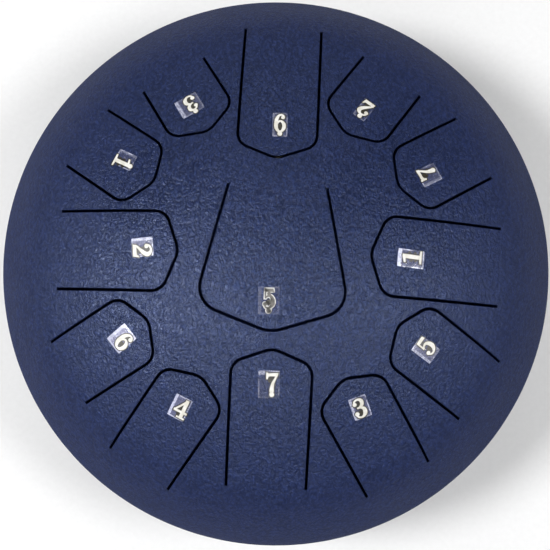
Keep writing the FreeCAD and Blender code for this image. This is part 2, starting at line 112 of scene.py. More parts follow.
# across, along: of the number from the film's middle, to its right and upward; haze: how milky the
# film is, partly trapped air and partly painted glare; toward: direction of its side with painted
# glare, in degrees from the number's right; side_haze: how strong that side's painted glare is;
# rim_haze: how bright the painted glare on the film's edges and folds is
Film = namedtuple("Film", "across along haze toward side_haze rim_haze")
FILMS = {
    "low_5": Film(0.0, 0.0, 0.05, 180.0, 0.10, 0.10),
    "low_6": Film(0.0, 0.0, 0.06, 180.0, 0.12, 0.25),
    "low_7": Film(1.5, 0.0, 0.04, 90.0, 0.28, 0.14),
    "mid_1": Film(1.0, -0.5, 0.12, 90.0, 0.90, 0.80),
    "mid_2": Film(1.5, 0.0, 0.35, 180.0, 0.85, 0.90),
    "mid_3": Film(-0.4, -0.3, 0.14, 180.0, 0.50, 0.55),
    "mid_4": Film(1.0, 0.0, 0.20, 180.0, 0.75, 0.80),
    "mid_5": Film(1.5, 0.5, 0.20, 180.0, 0.38, 0.60),
    "mid_6": Film(1.9, -0.1, 0.70, 180.0, 0.10, 0.60),
    "mid_7": Film(1.5, 0.5, 0.10, 180.0, 0.15, 0.40),
    "high_1": Film(1.9, -0.1, 0.05, 180.0, 0.12, 0.60),
    "high_2": Film(0.0, 0.0, 0.04, 0.0, 0.10, 0.25),
    "high_3": Film(-1.2, 0.2, 0.12, 0.0, 0.40, 0.30),
}

# dot_side: side of the number that its dot is on; width: of a figure one unit wide
Octave = namedtuple("Octave", "dot_side width height")
OCTAVES = {
    "low": Octave(-1, 9.8, 9.8),
    "mid": Octave(0, 10.8, 9.6),
    "high": Octave(1, 10.5, 8.8),
}
DOT_RADIUS, DOT_REACH = 1.2, 0.8
BOLD = 0.10  # how far every stroke is thickened
EDGE_PRINT = 0.45  # how far the print under a figure stands out round it
DARK_FIGURE_NOTE = "low_5"  # the note whose number is printed darker, with painted glints on the print round it
# bottom and top of the two printed layers, over the coat
EDGE_LAYER = (FILM + 0.01, FILM + 0.04)
FIGURE_LAYER = (FILM + 0.03, FILM + 0.08)


# ------------------------------------------------------------------ the dome

def dome(x, y, depth=0.0):
    """Height of the top dish at (x, y), that far under its outer face along the normal."""
    r = math.hypot(x, y)
    big, small = CROWN - depth, KNUCKLE - depth
    if r <= big * (RIM - KNUCKLE) / (CROWN - KNUCKLE):
        return CROWN_Z + math.sqrt(big * big - r * r)
    return KNUCKLE_Z + math.sqrt(max(small * small - (r - RIM + KNUCKLE) ** 2, 0.0))


def dome_normal(x, y, z):
    """Outward normal of the dish's surface through a point on it."""
    r = math.hypot(x, y)
    if r < 1e-9:
        return Vector((0, 0, 1))
    if r * (KNUCKLE_Z - CROWN_Z) <= (z - CROWN_Z) * (RIM - KNUCKLE):
        return Vector((x, y, z - CROWN_Z)).normalized()
    out = r - RIM + KNUCKLE
    return Vector((x / r * out, y / r * out, z - KNUCKLE_Z)).normalized()


def arc_length(r):
    """Distance along the dish from its centre to radius r."""
    join = CROWN * (RIM - KNUCKLE) / (CROWN - KNUCKLE)
    if r <= join:
        return CROWN * math.asin(r / CROWN)
    first = math.asin((join - RIM + KNUCKLE) / KNUCKLE)
    now = math.asin(min((r - RIM + KNUCKLE) / KNUCKLE, 1.0))
    return CROWN * math.asin(join / CROWN) + KNUCKLE * (now - first)


OUTER, INNER, NEITHER = 1, -1, 0  # which of the dish's two curved faces a mesh face lies on


class Sheet:
    """Collects a mesh's vertices and faces, and remembers which faces follow the dome."""

    def __init__(self):
        self.verts, self.faces, self.sides = [], [], []

    def vert(self, x, y, z):
        self.verts.append((x, y, z))
        return len(self.verts) - 1

    def face(self, corners, side=NEITHER):
        corners = [c for i, c in enumerate(corners) if c != corners[i - 1]]
        if len(corners) > 2:
            self.faces.append(corners)
            self.sides.append(side)

    def face_on(self, side, corners):
        """A face of the dish. Its corners are in order as seen from outside."""
        self.face(corners if side == OUTER else corners[::-1], side)

    def strip(self, first, second):
        """Quads between two closed loops of as many vertices."""
        count = len(first)
        for i in range(count):
            j = (i + 1) % count
            self.face([first[i], first[j], second[j], second[i]])

    def build(self, name, sharp=35.0):
        """The mesh as an object in metres, smooth but for edges sharper than that many degrees."""
        mesh = bpy.data.meshes.new(name)
        mesh.from_pydata([(x * MM, y * MM, z * MM) for x, y, z in self.verts], [], self.faces)
        shaped = bmesh.new()
        shaped.from_mesh(mesh)
        bmesh.ops.recalc_face_normals(shaped, faces=shaped.faces)
        shaped.to_mesh(mesh)
        shaped.free()
        mesh.polygons.foreach_set("use_smooth", [True] * len(self.faces))
        mesh.update()
        mesh.set_sharp_from_angle(angle=math.radians(sharp))
        if any(self.sides):
            normals = []
            for polygon in mesh.polygons:
                side = self.sides[polygon.index]
                for corner in polygon.vertices:
                    n = dome_normal(*self.verts[corner]) * side if side else Vector((0, 0, 0))
                    normals.append(n[:])
            mesh.normals_split_custom_set(normals)
        obj = bpy.data.objects.new(name, mesh)
        bpy.context.scene.collection.objects.link(obj)
        return obj


# ------------------------------------------------------------------ a tongue's outline

SIDE_STEPS, SHOULDER_STEPS, SLANT_STEPS, TIP_STEPS = 22, 8, 3, 5
COLUMNS = 12  # mesh cells across a tongue


def to_plan(note, x, y):
    """From a tongue's own frame, tip at 0 and +x towards the root, to the drum's."""
    tongue = TONGUES[note]
    radius, turn = KINDS[tongue.kind].tip_radius, math.radians(tongue.bearing)
    angle = math.radians(tongue.heading)
    return (
        radius * math.cos(turn) + x * math.cos(angle) - y * math.sin(angle),
        radius * math.sin(turn) + x * math.sin(angle) + y * math.cos(angle),
    )


def half_outline(note, inset, root):
    """Points (x, y), y >= 0, of one side of the outline from the root round to the tip."""
    tongue = TONGUES[note]
    kind = KINDS[tongue.kind]
    wide, foot = kind.shoulder_width / 2, kind.root_width / 2
    slope = (foot - wide) / (tongue.length - kind.setback)
    lean = math.atan2(wide, kind.setback)
    drop = inset / math.cos(math.atan(slope))
    tip_x = inset / math.sin(lean)
    rise = wide - slope * kind.setback - drop + tip_x * math.tan(lean)
    shoulder_x = rise / (math.tan(lean) - slope)
    root_point = Vector((root, wide + slope * (root - kind.setback) - drop))
    shoulder = Vector((shoulder_x, (shoulder_x - tip_x) * math.tan(lean)))
    tip = Vector((tip_x, 0.0))
    # round the shoulder
    back, forth = (root_point - shoulder).normalized(), (tip - shoulder).normalized()
    shoulder_round = kind.shoulder_round - inset
    half_angle = back.angle(forth) / 2
    reach = shoulder_round / math.tan(half_angle)
    centre = shoulder + (back + forth).normalized() * (shoulder_round / math.sin(half_angle))
    start, end = shoulder + back * reach, shoulder + forth * reach
    a0 = math.atan2(*(start - centre).yx)
    a1 = math.atan2(*(end - centre).yx)
    if a1 < a0 - math.pi:
        a1 += 2 * math.pi
    # round the tip
    tip_round = kind.tip_round - inset
    tip_start = tip - forth * (tip_round * math.tan(math.pi / 2 - lean))
    tip_centre = Vector((tip_x + tip_round / math.sin(lean), 0.0))
    b0 = math.atan2(*(tip_start - tip_centre).yx)
    points = [root_point.lerp(start, i / SIDE_STEPS) for i in range(SIDE_STEPS)]
    points += [
        centre + shoulder_round * Vector((math.cos(a), math.sin(a)))
        for a in (a0 + (a1 - a0) * i / SHOULDER_STEPS for i in range(SHOULDER_STEPS))
    ]
    points += [end.lerp(tip_start, i / SLANT_STEPS) for i in range(SLANT_STEPS)]
    points += [
        tip_centre + tip_round * Vector((math.cos(b), math.sin(b)))
        for b in (b0 + (math.pi - b0) * i / TIP_STEPS for i in range(TIP_STEPS + 1))
    ]
    points[-1].y = 0.0
    return [(p.x, p.y) for p in points]


def edge_levels():
    """Levels down a rounded edge: (offset into the metal, drop from the outer face, rise from the
    inner face), with None for the face that the level isn't measured from."""
    levels = []
    for degrees in (0, 30, 60, 90):
        a = math.radians(degrees)
        levels.append((EDGE_ROUND * (1 - math.sin(a)), EDGE_ROUND * (1 - math.cos(a)), None))
    for degrees in (90, 45, 0):
        a = math.radians(degrees)
        levels.append((BURR_ROUND * (1 - math.sin(a)), None, BURR_ROUND * (1 - math.cos(a))))
    return levels


EDGE_LEVELS = edge_levels()
LAST_LEVEL = len(EDGE_LEVELS) - 1
LEVEL_SIDES = {0: OUTER, LAST_LEVEL: INNER}


def level_height(x, y, drop, rise):
    return dome(x, y) - drop if rise is None else dome(x, y, WALL) + rise


def tongue_sheet(note):
    """A tongue with rounded edges: matching grids on its two faces, joined by a wall."""
    sheet = Sheet()
    root = TONGUES[note].length - ROOT_GAP
    rings, grids = [], {}
    for level, (offset, drop, rise) in enumerate(EDGE_LEVELS):
        half = half_outline(note, SLOT / 2 + offset, root)
        rows = []
        for x, y in half:
            spans = [1 - 2 * i / COLUMNS for i in range(COLUMNS + 1)] if y > 0 else [0.0]
            whole = level in LEVEL_SIDES or (x, y) == half[0]
            row = []
            for index, span in enumerate(spans):
                if not whole and 0 < index < len(spans) - 1:
                    row.append(None)
                    continue
                px, py = to_plan(note, x, y * span)
                row.append(sheet.vert(px, py, level_height(px, py, drop, rise)))
            rows.append(row)
        left = [row[0] for row in rows]
        right = [row[-1] for row in rows[:-1]]
        rings.append(left + right[::-1] + rows[0][1:-1][::-1])
        if level in LEVEL_SIDES:
            grids[LEVEL_SIDES[level]] = rows
    for upper, lower in zip(rings, rings[1:]):
        sheet.strip(upper, lower)
    for side, rows in grids.items():
        for row, after in zip(rows, rows[1:]):
            if len(after) == 1:
                after = after * len(row)
            for i in range(len(row) - 1):
                sheet.face_on(side, [row[i], row[i + 1], after[i + 1], after[i]])
    return sheet


# ------------------------------------------------------------------ the top dish round the tongues

BELT = 136.0  # radius outside every tongue, where the triangles meet the turned rim
BELT_COUNT = 240
BELT_ANGLES = [2 * math.pi * i / BELT_COUNT for i in range(BELT_COUNT)]
GRID = 3.6  # spacing of the points between the tongues
GRID_CLEAR_SQUARED = 2.6  # least squared distance from such a point to an edge point
BELT_CLEAR = 2.0
RIM_ROWS = 16


def window_ring(note, offset):
    """The shell's edge round a tongue: down one side of the slot, round the tip, back, across."""
    root = TONGUES[note].length
    half = half_outline(note, -SLOT / 2 - offset, root)
    ring = half + [(x, -y) for x, y in half[-2::-1]]
    reach = half[0][1]
    ring += [(root, -reach + 2 * reach * i / COLUMNS) for i in range(1, COLUMNS)]
    return [to_plan(note, x, y) for x, y in ring]


def inside(point, ring):
    x, y = point
    hit = False
    for (x0, y0), (x1, y1) in zip(ring, ring[1:] + ring[:1]):
        if (y0 > y) != (y1 > y) and x < (x1 - x0) * (y - y0) / (y1 - y0) + x0:
            hit = not hit
    return hit


def flatten(x, y):
    """A point of the dish laid out flat, at its distance along the dish from the centre."""
    r = math.hypot(x, y)
    k = arc_length(r) / r if r > 1e-6 else 1.0
    return Vector((x * k, y * k))


def shell_face(sheet, rings, depth, side):
    """Triangles of one face of the shell inside the belt, round the thirteen windows."""
    loops = rings + [[(BELT * math.cos(a), BELT * math.sin(a)) for a in BELT_ANGLES]]
    points, edges, firsts = [], [], []
    for loop in loops:
        first, count = len(points), len(loop)
        firsts.append(first)
        points += loop
        edges += [(first + i, first + (i + 1) % count) for i in range(count)]
    fixed = [Vector(p) for ring in rings for p in ring]
    radius = GRID
    while radius < BELT - BELT_CLEAR:
        count = max(6, int(2 * math.pi * radius / GRID))
        for i in range(count):
            a = 2 * math.pi * (i + 0.5 * (int(radius / GRID) % 2)) / count
            p = (radius * math.cos(a), radius * math.sin(a))
            near = min((Vector(p) - q).length_squared for q in fixed)
            if near > GRID_CLEAR_SQUARED and not any(inside(p, ring) for ring in rings):
                points.append(p)
        radius += GRID
    flat = [flatten(*p) for p in points]
    _, _, faces, origin, _, _ = delaunay_2d_cdt(flat, edges, [], 0, 1e-7)
    index, verts = {}, []
    for new, sources in enumerate(origin):
        x, y = points[sources[0]]
        verts.append(sheet.vert(x, y, dome(x, y, depth)))
        for source in sources:
            index[source] = new
    for face in faces:
        plan = [points[origin[i][0]] for i in face]
        centre = (sum(p[0] for p in plan) / 3, sum(p[1] for p in plan) / 3)
        if not any(inside(centre, ring) for ring in rings):
            sheet.face_on(side, [verts[i] for i in face])
    found = [
        [verts[index[first + i]] for i in range(len(loop))] for first, loop in zip(firsts, loops)
    ]
    return found[:-1], found[-1]


def rim_profile(depth):
    """(radius, height) of the points from the belt down to the dish's edge."""
    start = math.asin((BELT - RIM + KNUCKLE) / (KNUCKLE - depth))
    profile = []
    for i in range(1, RIM_ROWS + 1):
        a = start + (math.pi / 2 - start) * i / RIM_ROWS
        profile.append((RIM - KNUCKLE + (KNUCKLE - depth) * math.sin(a),
                        KNUCKLE_Z + (KNUCKLE - depth) * math.cos(a)))
    profile.append((RIM - depth, KNUCKLE_Z - SKIRT))
    return profile


def shell_sheet():
    """The whole top dish between its rim and the tongues, with rounded slot edges."""
    sheet = Sheet()
    rings = [[window_ring(note, offset) for note in TONGUES] for offset, _, _ in EDGE_LEVELS]
    outer_windows, outer_belt = shell_face(sheet, rings[0], 0.0, OUTER)
    inner_windows, inner_belt = shell_face(sheet, rings[LAST_LEVEL], WALL, INNER)
    for window, outer in enumerate(outer_windows):
        above = outer
        for level in range(1, LAST_LEVEL):
            _, drop, rise = EDGE_LEVELS[level]
            below = [
                sheet.vert(x, y, level_height(x, y, drop, rise)) for x, y in rings[level][window]
            ]
            sheet.strip(below, above)
            above = below
        sheet.strip(inner_windows[window], above)
    ends = []
    for above, depth, side in ((outer_belt, 0.0, OUTER), (inner_belt, WALL, INNER)):
        for radius, z in rim_profile(depth):
            below = [sheet.vert(radius * math.cos(a), radius * math.sin(a), z) for a in BELT_ANGLES]
            if side == OUTER:
                sheet.strip(below, above)
            else:
                sheet.strip(above, below)
            above = below
        ends.append(above)
    sheet.strip(ends[1], ends[0])
    return sheet


# ------------------------------------------------------------------ numerals

RIBBON_STEPS = 8
DISC_STEPS = 20


def ribbon(points):
    """An outline round a smooth centre line. Each point is (x, y, width)."""
    path = []
    count = len(points)
    for i in range(count - 1):
        p0, p1 = points[max(i - 1, 0)], points[i]
        p2, p3 = points[i + 1], points[min(i + 2, count - 1)]
        for s in range(RIBBON_STEPS):
            t = s / RIBBON_STEPS
            path.append([
                0.5 * (2 * b + (c - a) * t + (2 * a - 5 * b + 4 * c - d) * t * t
                       + (3 * b - a - 3 * c + d) * t ** 3)
                for a, b, c, d in zip(p0, p1, p2, p3)
            ])
    path.append(list(points[-1]))
    left, right = [], []
    for i, (x, y, w) in enumerate(path):
        before, after = path[max(i - 1, 0)], path[min(i + 1, len(path) - 1)]
        dx, dy = after[0] - before[0], after[1] - before[1]
        size = math.hypot(dx, dy)
        nx, ny = -dy / size * w / 2, dx / size * w / 2
        left.append((x + nx, y + ny))
        right.append((x - nx, y - ny))
    return left + right[::-1]


def disc(x, y, radius):
    angles = (2 * math.pi * i / DISC_STEPS for i in range(DISC_STEPS))
    return [(x + radius * math.cos(a), y + radius * math.sin(a)) for a in angles]


# Bold serif figures one unit tall, centred on the origin, as overlapping outlines
FIGURES = {
    1: [
        [(-0.085, -0.47), (0.085, -0.47), (0.085, 0.5), (-0.02, 0.5), (-0.085, 0.46)],
        [(-0.29, -0.5), (0.29, -0.5), (0.29, -0.43), (0.17, -0.40), (-0.17, -0.40),
         (-0.29, -0.43)],
        [(-0.28, 0.33), (-0.06, 0.36), (-0.02, 0.5), (-0.10, 0.47), (-0.28, 0.41)],
    ],
    2: [
        ribbon([(-0.2, 0.24, 0.10), (-0.16, 0.38, 0.08), (0.02, 0.455, 0.09), (0.19, 0.34, 0.17),
                (0.19, 0.17, 0.18), (0.04, -0.04, 0.14), (-0.13, -0.22, 0.09),
                (-0.25, -0.38, 0.06)]),
        disc(-0.17, 0.22, 0.095),
        [(-0.29, -0.5), (0.25, -0.5), (0.31, -0.22), (0.26, -0.22), (0.20, -0.32),
         (-0.26, -0.34)],
    ],
    3: [
        ribbon([(-0.19, 0.27, 0.08), (-0.14, 0.40, 0.07), (0.02, 0.46, 0.08), (0.17, 0.37, 0.15),
                (0.16, 0.16, 0.14), (0.0, 0.04, 0.07), (-0.1, 0.03, 0.06)]),
        ribbon([(-0.1, 0.035, 0.06), (0.04, 0.03, 0.07), (0.19, -0.08, 0.15),
                (0.19, -0.30, 0.17), (0.03, -0.455, 0.09), (-0.15, -0.42, 0.07),
                (-0.22, -0.27, 0.08)]),
        disc(-0.165, 0.25, 0.088),
        disc(-0.19, -0.25, 0.095),
    ],
    4: [
        [(0.04, -0.47), (0.19, -0.47), (0.19, 0.5), (0.04, 0.5)],
        [(-0.32, -0.22), (0.32, -0.22), (0.32, -0.12), (-0.32, -0.12)],
        [(-0.32, -0.17), (-0.25, -0.17), (0.17, 0.44), (0.17, 0.5), (0.10, 0.5)],
        [(-0.08, -0.5), (0.30, -0.5), (0.30, -0.43), (-0.08, -0.43)],
    ],
    5: [
        [(-0.19, 0.5), (0.22, 0.5), (0.25, 0.36), (-0.19, 0.35)],
        [(-0.19, 0.5), (-0.13, 0.5), (-0.14, 0.02), (-0.20, 0.02)],
        ribbon([(-0.17, 0.03, 0.05), (-0.06, 0.13, 0.07), (0.1, 0.12, 0.12), (0.2, -0.06, 0.17),
                (0.19, -0.27, 0.17), (0.04, -0.44, 0.09), (-0.13, -0.43, 0.07),
                (-0.21, -0.3, 0.07)]),
        disc(-0.18, -0.27, 0.09),
    ],
    6: [
        ribbon([(0.2, 0.36, 0.08), (0.12, 0.45, 0.07), (-0.03, 0.44, 0.09), (-0.16, 0.25, 0.15),
                (-0.2, -0.02, 0.17), (-0.19, -0.25, 0.165), (-0.09, -0.43, 0.11),
                (0.02, -0.462, 0.075)]),
        ribbon([(-0.16, -0.06, 0.06), (-0.05, 0.1, 0.08), (0.08, 0.1, 0.1),
                (0.195, -0.05, 0.16), (0.2, -0.25, 0.165), (0.11, -0.42, 0.11),
                (-0.01, -0.462, 0.075)]),
        disc(0.155, 0.32, 0.088),
    ],
    7: [
        [(-0.28, 0.5), (-0.22, 0.5), (-0.2, 0.45), (0.3, 0.48), (0.28, 0.34), (0.1, 0.33),
         (-0.12, 0.33), (-0.2, 0.27), (-0.22, 0.18), (-0.28, 0.18)],
        ribbon([(0.26, 0.42, 0.08), (0.16, 0.2, 0.08), (0.05, -0.02, 0.12), (0.0, -0.25, 0.17),
                (-0.01, -0.42, 0.2)]),
        disc(-0.01, -0.4, 0.1),
    ],
}
# figure: the hollows that its dark print fills, as (x, y, radius) in the figure's own units
HOLLOWS = {
    1: [(-0.15, 0.05, 0.10), (-0.15, -0.20, 0.10), (0.15, -0.15, 0.10), (0.15, 0.15, 0.10)],
    2: [(-0.01, 0.22, 0.12), (0.05, -0.22, 0.12), (-0.10, 0.02, 0.08)],
    3: [(-0.01, 0.23, 0.11), (0.0, -0.22, 0.13)],
    4: [(-0.04, 0.02, 0.13), (-0.08, -0.30, 0.08)],
    5: [(0.02, 0.24, 0.10), (-0.01, -0.18, 0.14)],
    6: [(0.0, -0.18, 0.14), (0.02, 0.24, 0.12)],
    7: [(-0.06, 0.20, 0.12), (-0.12, 0.08, 0.08), (0.14, -0.10, 0.06)],
}


def grown(outline, amount):
    """The outline, anticlockwise, with every side moved outward by an amount and corners kept."""
    area = sum(a[0] * b[1] - b[0] * a[1] for a, b in zip(outline, outline[1:] + outline[:1]))
    points = [Vector(p) for p in (outline if area > 0 else outline[::-1])]
    points = [p for i, p in enumerate(points) if (p - points[i - 1]).length > 1e-6]
    sides = [(b - a).normalized() for a, b in zip(points, points[1:] + points[:1])]
    moved = []
    for i, point in enumerate(points):
        before, after = sides[i - 1], sides[i]
        out = Vector((before.y + after.y, -before.x - after.x))
        moved.append(point + out * (amount / max(1 + before.dot(after), 0.3)))
    return moved


def from_sticker(note, u, v):
    """From a sticker's own frame, middle at 0 and +v towards the number's top, to the drum's."""
    sticker = STICKERS[note]
    turn = math.radians(sticker.up - 90)
    cx, cy = to_plan(note, sticker.inward, sticker.left)
    return (
        cx + u * math.cos(turn) - v * math.sin(turn),
        cy + u * math.sin(turn) + v * math.cos(turn),
    )


def numeral_sheet(note, grow, filled, layer):
    """The number and its octave dot as a thin layer that follows the dome, between two heights."""
    bottom, top = layer
    octave, digit = note.split("_")
    digit = int(digit)
    dot, width, height = OCTAVES[octave]
    shift = -dot * DOT_REACH
    shapes = [
        grown([(x * width, y * height + shift) for x, y in outline], BOLD + grow)
        for outline in FIGURES[digit]
    ]
    if filled:
        shapes += [
            disc(x * width, y * height + shift, radius * height) for x, y, radius in HOLLOWS[digit]
        ]
    if dot:
        shapes.append(grown(disc(0.0, shift + dot * (height / 2 + DOT_REACH), DOT_RADIUS), grow))
    points, outlines = [], []
    for shape in shapes:
        outlines.append(list(range(len(points), len(points) + len(shape))))
        points += shape
    made, _, triangles, _, _, parents = delaunay_2d_cdt(points, [], outlines, 0, 1e-4)
    kept = [tri for tri, parent in zip(triangles, parents) if parent]
    film = FILMS[note]
    sheet = Sheet()
    upper, lower = {}, {}
    for i in sorted({i for tri in kept for i in tri}):
        x, y = from_sticker(note, made[i].x + film.across, made[i].y + film.along)
        z = dome(x, y)
        upper[i] = sheet.vert(x, y, z + top)
        lower[i] = sheet.vert(x, y, z + bottom)
    sides = set()
    for tri in kept:
        sheet.face([upper[i] for i in tri])
        sheet.face([lower[i] for i in reversed(tri)])
        sides.update(zip(tri, tri[1:] + tri[:1]))
    for a, b in sorted(sides):
        if (b, a) not in sides:
            sheet.face([upper[b], upper[a], lower[a], lower[b]])
    return sheet


FILM_CELLS = 26
FILM_GAP, FILM_SKIN = 0.02, 0.05  # height of its underside over the coat, and its thickness


def film_sheet(note):
    """A clear film with rounded corners that ripples a little where it hasn't been pressed down."""
    sticker = STICKERS[note]
    draw = random.Random("film " + note)
    waves = [
        (draw.uniform(0.5, 1.4), draw.uniform(0, math.tau), draw.uniform(0, math.tau),
         draw.uniform(0.02, 0.05))
        for _ in range(4)
    ]
    curl = draw.uniform(0.1, 0.3)
    curl_corner = draw.choice([(1, 1), (1, -1), (-1, 1), (-1, -1)])
    sheet = Sheet()
    grid = []
    for j in range(FILM_CELLS + 1):
        row = []
        for i in range(FILM_CELLS + 1):
            u, v = (2 * i / FILM_CELLS - 1), (2 * j / FILM_CELLS - 1)
            # pull the square's corners in to round them
            k = 1 - 0.025 * (abs(u) * abs(v)) ** 6
            px, py = u * k * sticker.width / 2, v * k * sticker.height / 2
            ripple = sum(
                size * (0.5 + 0.5 * math.sin(f * (px * math.cos(a) + py * math.sin(a)) + p))
                for f, a, p, size in waves
            )
            # one corner lifts, and the ripples fade towards the edges
            lift = max(0.0, (u * curl_corner[0] + v * curl_corner[1]) / 2 - 0.55) * curl
            edge = min(1.0, 4 * (1 - max(abs(u), abs(v))) + 0.25)
            x, y = from_sticker(note, px, py)
            row.append((x, y, dome(x, y) + FILM_GAP + ripple * edge * 0.4 + lift))
        grid.append(row)
    top = [[sheet.vert(x, y, z + FILM_SKIN) for x, y, z in row] for row in grid]
    low = [[sheet.vert(x, y, z) for x, y, z in row] for row in grid]
    for j in range(FILM_CELLS):
        for i in range(FILM_CELLS):
            sheet.face([top[j][i], top[j][i + 1], top[j + 1][i + 1], top[j + 1][i]])
            sheet.face([low[j][i], low[j + 1][i], low[j + 1][i + 1], low[j][i + 1]])
    steps = range(FILM_CELLS)
    back_steps = range(FILM_CELLS, 0, -1)
    rim = [(0, i) for i in steps] + [(j, FILM_CELLS) for j in steps]
    rim += [(FILM_CELLS, i) for i in back_steps] + [(j, 0) for j in back_steps]
    sheet.strip([low[j][i] for j, i in rim], [top[j][i] for j, i in rim])
    return sheet


# ------------------------------------------------------------------ materials

class Nodes:
    """A material with a Principled shader, and short calls to add and join nodes."""

    def __init__(self, name, **values):
        self.material = bpy.data.materials.new(name)
        self.material.use_nodes = True
        self.tree = self.material.node_tree
        self.shader = self.tree.nodes["Principled BSDF"]
        self.coords = self.add("TexCoord").outputs["Object"]
        self.put(self.shader, values)

    def add(self, kind, **values):
        node = self.tree.nodes.new("ShaderNode" + kind)
        self.put(node, values)
        return node

    def put(self, node, values):
        """Sets or joins a node's inputs, named with _ for each space."""
        for key, value in values.items():
            self.join(value, node.inputs[key.replace("_", " ")])

    def join(self, value, socket):
        if isinstance(value, (int, float, tuple)):
            socket.default_value = value
        else:
            self.tree.links.new(value, socket)

    def shade(self, **sources):
        """Joins values to the shader's inputs, and gives the finished material."""
        self.put(self.shader, sources)
        return self.material

    def noise(self, scale, detail=3.0, rough=0.5, coords=None, distortion=0.0):
        return self.add("TexNoise", Scale=scale, Detail=detail, Roughness=rough,
                        Distortion=distortion, Vector=coords or self.coords).outputs["Fac"]

    def cells(self, scale, smooth, coords):
        node = self.add("TexVoronoi", Scale=scale, Vector=coords)
        node.feature = "SMOOTH_F1"
        node.inputs["Smoothness"].default_value = smooth
        return node.outputs["Distance"]

    def ramp(self, source, low, high, out_low=0.0, out_high=1.0):
        return self.add("MapRange", From_Min=low, From_Max=high, To_Min=out_low, To_Max=out_high,
                        Value=source).outputs["Result"]

    def math(self, kind, first, second=0.0):
        node = self.add("Math")
        node.operation = kind
        self.join(first, node.inputs[0])
        self.join(second, node.inputs[1])
        return node.outputs[0]

    def mix(self, factor, first, second):
        node = self.add("Mix")
        node.data_type = "RGBA"
        self.join(factor, node.inputs["Factor"])
        for name, value in (("A", first), ("B", second)):
            socket = [s for s in node.inputs if s.name == name and s.type == "RGBA"][0]
            self.join((*value, 1.0) if isinstance(value, tuple) else value, socket)
        return [s for s in node.outputs if s.type == "RGBA"][0]

    def bump(self, height, distance, strength=1.0):
        node = self.add("Bump", Distance=distance, Strength=strength, Height=height)
        return node.outputs["Normal"]

    def height(self):
        """The height above the floor, in metres."""
        return self.add("SeparateXYZ", Vector=self.coords).outputs["Z"]

    def local(self, centre, turn, half_size):
        """Coordinates that run from -1 to 1 across a rectangle, as separate u and v."""
        node = self.add("Mapping", Vector=self.coords)
        node.vector_type = "TEXTURE"
        self.put(node, {"Location": (*centre, 0.0), "Rotation": (0.0, 0.0, turn),
                        "Scale": (*half_size, 1.0)})
        split = self.add("SeparateXYZ", Vector=node.outputs["Vector"])
        return split.outputs["X"], split.outputs["Y"]

    def shifted(self, amount, reach):
        """Coordinates pushed to and fro by a 0 to 1 value, so a pattern has no straight lines."""
        node = self.add("VectorMath")
        node.operation = "MULTIPLY_ADD"
        for value, socket in zip((amount, (reach, -reach, reach), self.coords), node.inputs):
            self.join(value, socket)
        return node.outputs["Vector"]

    def stretch(self, scale, turn=(0.0, 0.0, 0.0)):
        node = self.add("Mapping", Scale=scale, Rotation=turn, Vector=self.coords)
        return node.outputs["Vector"]


def powder_coat(name):
    """Navy powder coat with a leather-like texture: low pebbles parted by fine creases. Its colour
    is darker in the creases and paler on the pebble tops: painted shade and light. It is rougher
    down the flank than on the crown, and bluer there too: a painted sheen for the light the rim
    catches."""
    m = Nodes(name, Metallic=0.0, IOR=1.5, Specular_IOR_Level=0.5,
              Specular_Tint=(0.53, 0.64, 1.0, 1.0))
    flank_z, crown_z = 0.105, 0.150
    warp = m.noise(240.0, 2.0, 0.5)
    pebble = m.cells(580.0, 0.3, m.shifted(warp, 0.0022))
    crease = m.noise(540.0, 4.0, 0.6, m.stretch((1.0, 0.65, 1.0), (0.0, 0.0, 0.6)), 1.6)
    fine = m.noise(1400.0, 3.0, 0.6)
    broad = m.noise(26.0, 3.0, 0.5)
    height = m.math("SUBTRACT", m.ramp(crease, 0.3, 0.7), m.math("MULTIPLY", pebble, 0.9))
    height = m.math("ADD", height, m.math("MULTIPLY", fine, 0.15))
    relief = m.ramp(height, -0.1, 0.75)
    cloud = m.ramp(broad, 0.3, 0.7)
    # painted shade and light: darker in the creases and paler on the pebble tops, over a broad
    # random tone
    crease_shade = m.mix(cloud, (0.0032, 0.0067, 0.028), (0.0043, 0.0080, 0.032))
    pebble_light = m.mix(cloud, (0.0136, 0.0235, 0.080), (0.0156, 0.0258, 0.087))
    # the flank's colour, bluer: a painted sheen for the light the rim catches, with the same
    # painted crease shade; crown is 0 on the flank
    flank_sheen_and_shade = m.mix(relief, (0.0040, 0.0092, 0.048), (0.0122, 0.0240, 0.104))
    crown = m.ramp(m.height(), flank_z, crown_z)
    rough = m.math("ADD", m.ramp(fine, 0.3, 0.7, 0.18, 0.28), m.ramp(broad, 0.3, 0.7, -0.03, 0.03))
    flank_rough = m.ramp(m.height(), flank_z, crown_z, 0.70, 0.0)
    return m.shade(
        Base_Color=m.mix(crown, flank_sheen_and_shade, m.mix(relief, crease_shade, pebble_light)),
        Roughness=m.math("ADD", rough, flank_rough),
        Normal=m.bump(height, 0.00020),
    )


def rubber():
    m = Nodes("moulded_rubber", IOR=1.5)
    speck = m.noise(900.0, 4.0, 0.6)
    swirl = m.noise(60.0, 2.0, 0.5)
    return m.shade(
        Base_Color=m.mix(m.ramp(swirl, 0.35, 0.7), (0.012, 0.012, 0.013), (0.026, 0.025, 0.024)),
        Roughness=m.ramp(speck, 0.3, 0.7, 0.62, 0.85),
        Normal=m.bump(speck, 0.00012, 0.6),
    )


def plated(name, dark, light, low, high):
    """Plated steel between two colours and two values of roughness, with fine marks round it."""
    m = Nodes(name, Metallic=1.0)
    brush = m.noise(700.0, 4.0, 0.6, m.stretch((1.0, 1.0, 7.0)))
    stain = m.noise(240.0, 3.0, 0.6)
    return m.shade(
        Base_Color=m.mix(m.ramp(stain, 0.3, 0.7), dark, light),
        Roughness=m.ramp(brush, 0.3, 0.7, low, high),
        Normal=m.bump(brush, 0.00003, 0.4),
    )


